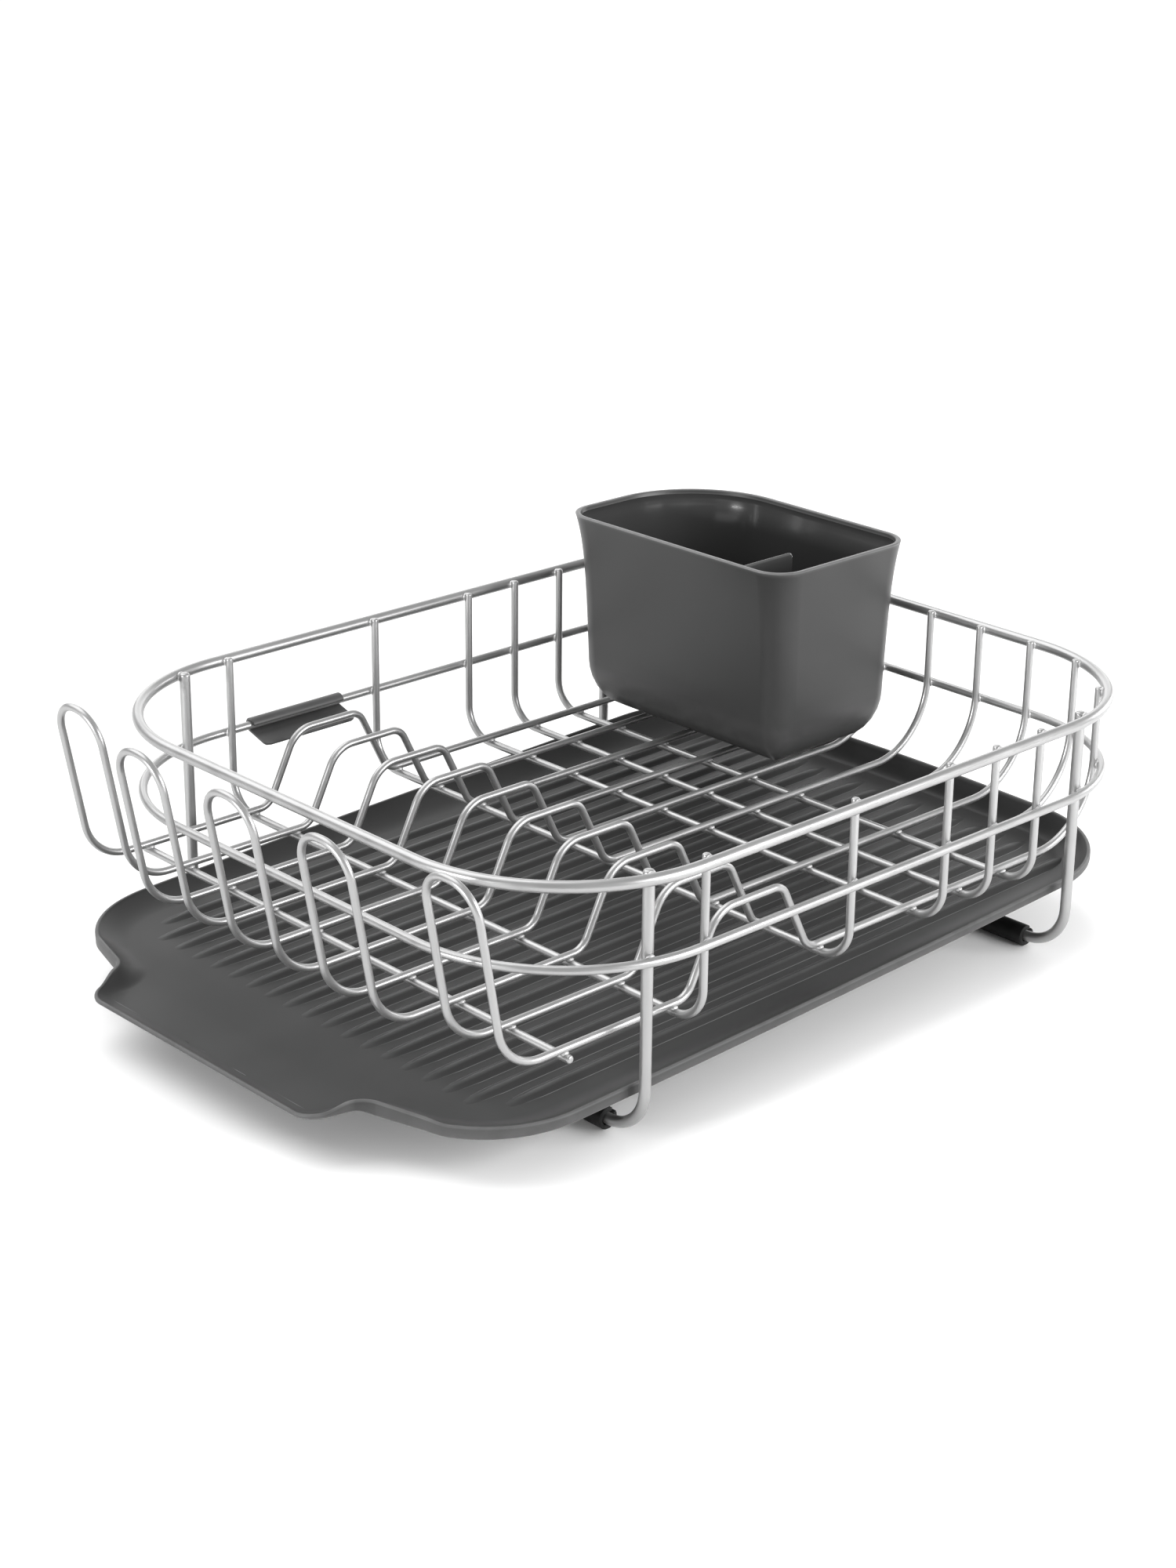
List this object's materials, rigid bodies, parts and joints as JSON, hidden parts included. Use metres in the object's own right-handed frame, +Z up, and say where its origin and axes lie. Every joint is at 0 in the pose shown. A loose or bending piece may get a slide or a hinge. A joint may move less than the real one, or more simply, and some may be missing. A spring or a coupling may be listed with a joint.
{
  "type": "dish drying rack",
  "caption": "Low wire dish drying rack with plate dividers, outer hairpin holders, a slide-out spouted drain tray, a lift-out cutlery caddy and a clip on the rail.",
  "frame": {"origin": "centre of the rack's footprint, on the counter that the feet rest on", "axes": "+X along the length, away from the tray's spout; +Y across, towards the wall with the clip; +Z up"},
  "size_m": [0.5219, 0.3794, 0.184],
  "materials": {
    "wire": "satin light grey coating",
    "rubber": "dull",
    "clip": "satin",
    "tray": "fine matte texture",
    "caddy": "satin outside, smoother inside"
  },
  "bodies": {
    "rack": {"top_rim": "wire", "lower_rail": "wire", "cross_wire_1": "wire", "cross_wire_2": "wire", "cross_wire_3": "wire", "cross_wire_4": "wire", "cross_wire_5": "wire", "end_cross_rod": "wire", "plate_wire_1": "wire", "plate_wire_2": "wire", "plate_wire_3": "wire", "plate_wire_4": "wire", "plate_wire_5": "wire", "left_leg_wire": "wire", "right_leg_wire": "wire", "foot_sleeve_front_left": "rubber", "foot_sleeve_back_left": "rubber", "foot_sleeve_front_right": "rubber", "foot_sleeve_back_right": "rubber", "rail_clip": "clip"},
    "tray": {"drain_tray": "tray"},
    "caddy": {"cutlery_caddy": "caddy"}
  },
  "joints": [
    {"name": "tray_slide", "type": "slide", "parent": "rack", "child": "tray", "axis": [-1, 0, 0], "range_m": [0, 0.51]},
    {"name": "caddy_lift", "type": "slide", "parent": "rack", "child": "caddy", "axis": [0, 0, 1], "range_m": [0, 0.15]}
  ]
}
